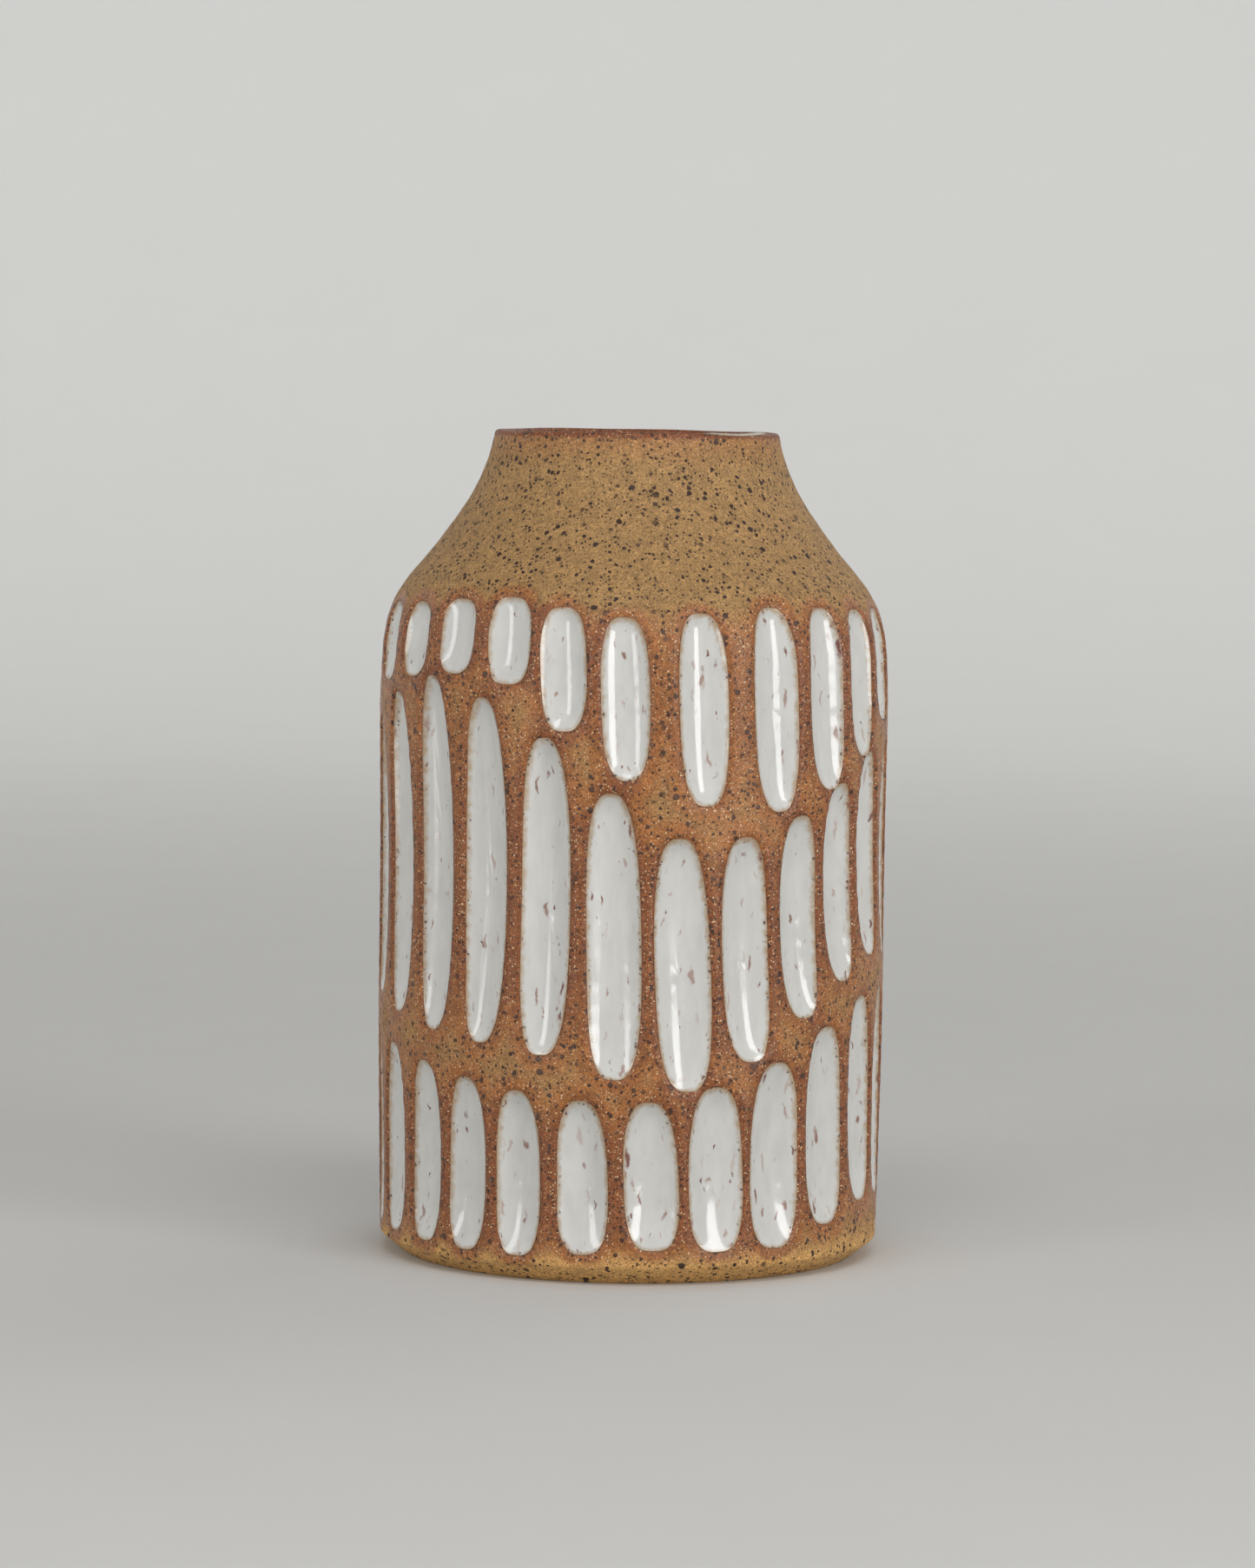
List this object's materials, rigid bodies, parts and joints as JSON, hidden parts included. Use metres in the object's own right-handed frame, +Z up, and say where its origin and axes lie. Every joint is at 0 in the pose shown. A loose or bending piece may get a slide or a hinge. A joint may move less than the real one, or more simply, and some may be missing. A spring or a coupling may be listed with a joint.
{
  "type": "stoneware vase",
  "caption": "Round-shouldered stoneware flower vase with a short neck, its wall carved with rows of upright scoops that hold white glaze.",
  "frame": {"origin": "middle of the underside of the foot, on the surface that the vase stands on", "axes": "+Z up along the axis on which the vase was thrown; the front, as pictured, is the -Y side"},
  "size_m": [0.1102, 0.11, 0.178],
  "materials": {
    "stoneware": "matte",
    "white_glaze": "gloss",
    "liner_glaze": "gloss"
  },
  "bodies": {
    "root": {"liner_glaze": "liner_glaze", "lower_inlay_01": "white_glaze", "lower_inlay_02": "white_glaze", "lower_inlay_03": "white_glaze", "lower_inlay_04": "white_glaze", "lower_inlay_05": "white_glaze", "lower_inlay_06": "white_glaze", "lower_inlay_07": "white_glaze", "lower_inlay_08": "white_glaze", "lower_inlay_09": "white_glaze", "lower_inlay_10": "white_glaze", "lower_inlay_15": "white_glaze", "lower_inlay_16": "white_glaze", "lower_inlay_17": "white_glaze", "lower_inlay_18": "white_glaze", "lower_inlay_19": "white_glaze", "lower_inlay_20": "white_glaze", "lower_inlay_21": "white_glaze", "lower_inlay_22": "white_glaze", "lower_inlay_23": "white_glaze", "lower_inlay_24": "white_glaze", "middle_inlay_01": "white_glaze", "middle_inlay_02": "white_glaze", "middle_inlay_03": "white_glaze", "middle_inlay_04": "white_glaze", "middle_inlay_05": "white_glaze", "middle_inlay_06": "white_glaze", "middle_inlay_07": "white_glaze", "middle_inlay_08": "white_glaze", "middle_inlay_09": "white_glaze", "middle_inlay_15": "white_glaze", "middle_inlay_16": "white_glaze", "middle_inlay_17": "white_glaze", "middle_inlay_18": "white_glaze", "middle_inlay_19": "white_glaze", "middle_inlay_20": "white_glaze", "middle_inlay_21": "white_glaze", "middle_inlay_22": "white_glaze", "middle_inlay_23": "white_glaze", "middle_inlay_24": "white_glaze", "stoneware_body": "stoneware", "upper_inlay_01": "white_glaze", "upper_inlay_02": "white_glaze", "upper_inlay_03": "white_glaze", "upper_inlay_04": "white_glaze", "upper_inlay_05": "white_glaze", "upper_inlay_06": "white_glaze", "upper_inlay_07": "white_glaze", "upper_inlay_08": "white_glaze", "upper_inlay_09": "white_glaze", "upper_inlay_10": "white_glaze", "upper_inlay_16": "white_glaze", "upper_inlay_17": "white_glaze", "upper_inlay_18": "white_glaze", "upper_inlay_19": "white_glaze", "upper_inlay_20": "white_glaze", "upper_inlay_21": "white_glaze", "upper_inlay_22": "white_glaze", "upper_inlay_23": "white_glaze", "upper_inlay_24": "white_glaze"}
  },
  "joints": []
}
